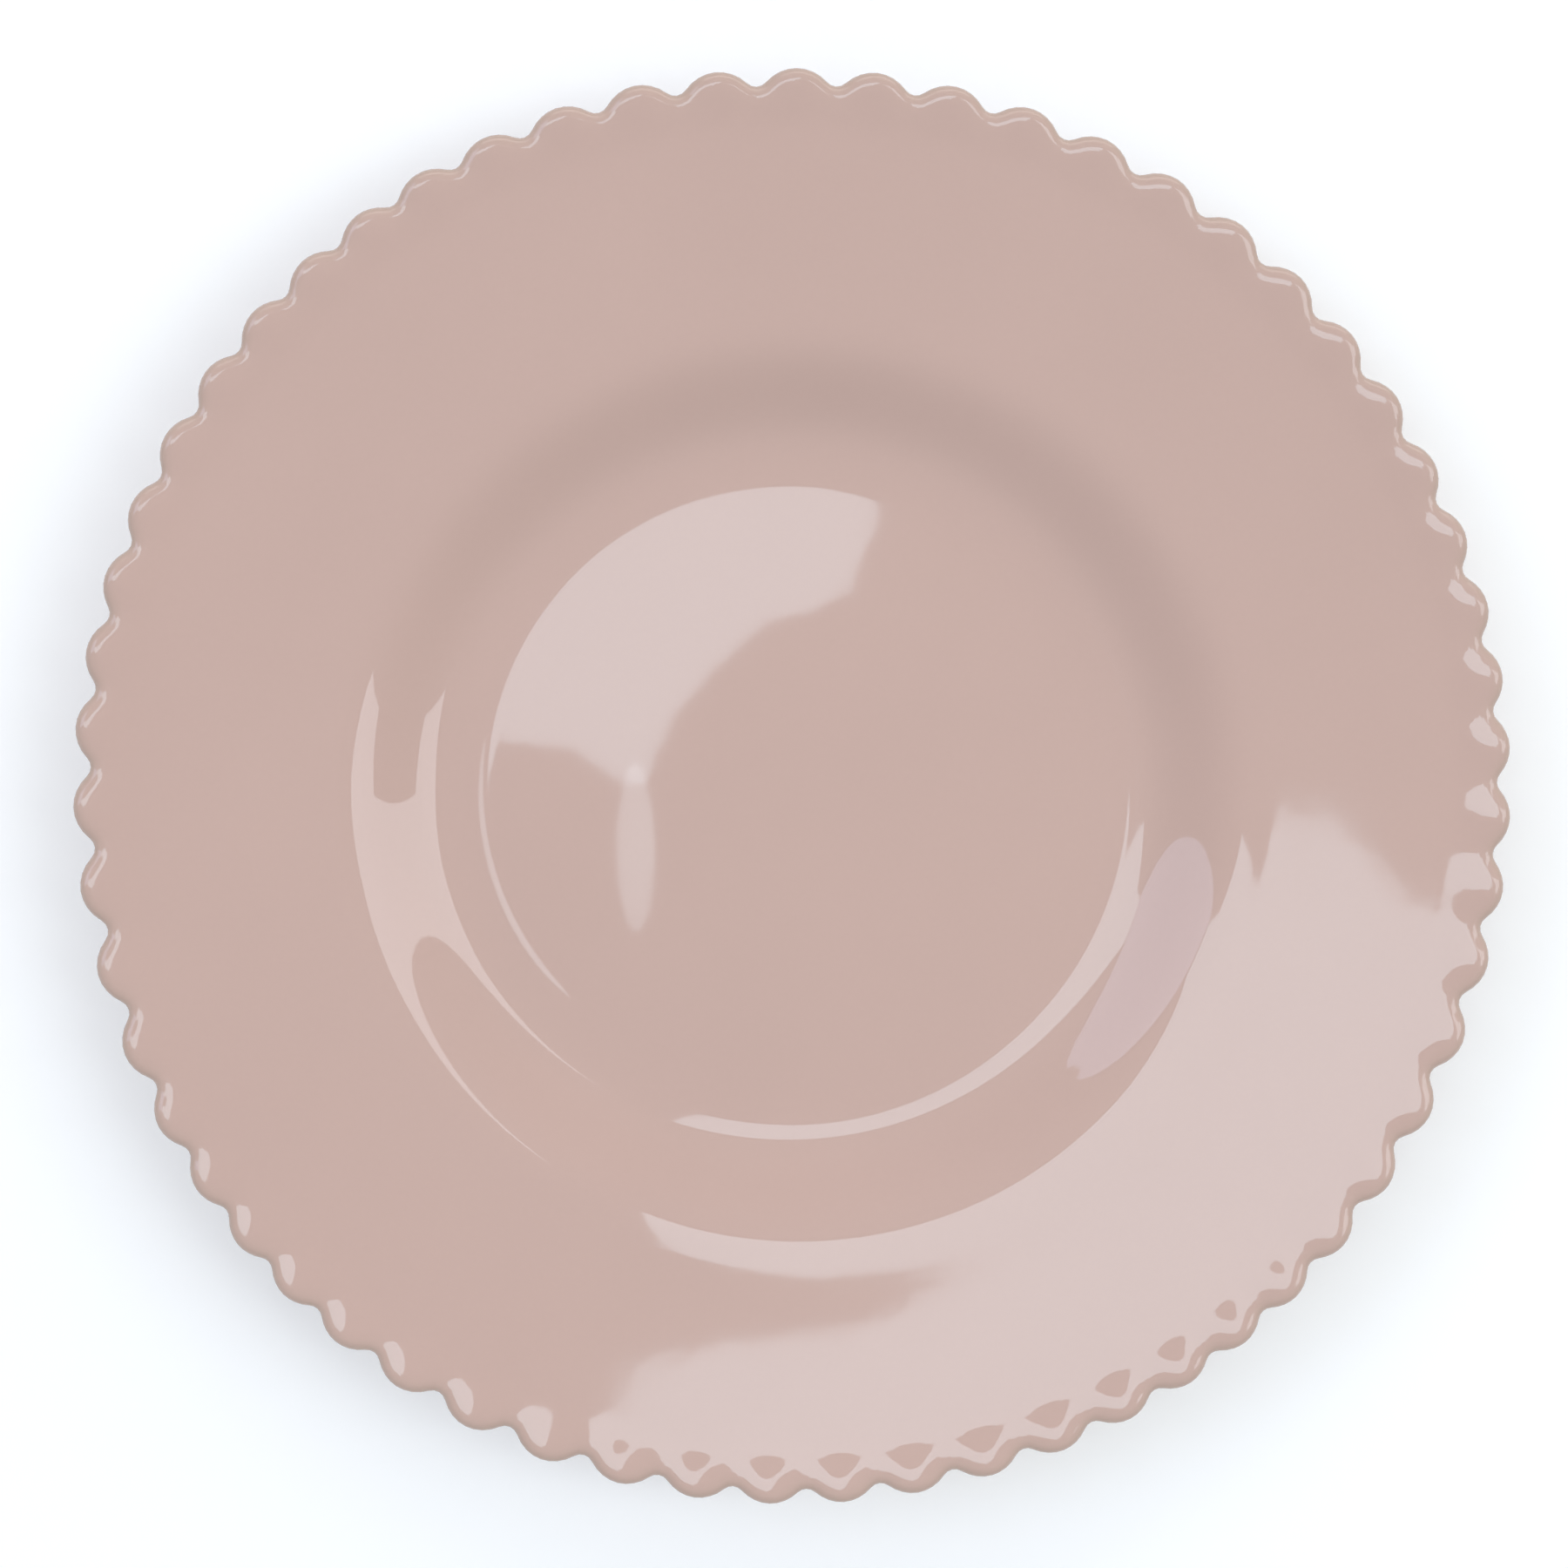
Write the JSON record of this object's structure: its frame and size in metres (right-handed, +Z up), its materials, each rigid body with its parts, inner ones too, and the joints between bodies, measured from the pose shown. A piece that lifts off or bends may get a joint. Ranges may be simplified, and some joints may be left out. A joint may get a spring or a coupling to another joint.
{
  "type": "scalloped plate",
  "caption": "Round stoneware dinner plate with a scalloped edge, a broad rim round a shallow well, a glossy dusty-pink glaze and a bare clay foot ring.",
  "frame": {"origin": "on the table under the middle of the plate, in the plane of the foot ring", "axes": "+Z up out of the well along the plate's axis, +Y towards the top of the picture, +X towards its right"},
  "size_m": [0.2749, 0.2749, 0.0255],
  "materials": {
    "pink_glaze": "gloss",
    "bare_clay": "matte"
  },
  "bodies": {
    "root": {"stoneware_body": "bare_clay", "glaze_coat": "pink_glaze", "base_glaze": "pink_glaze"}
  },
  "joints": []
}
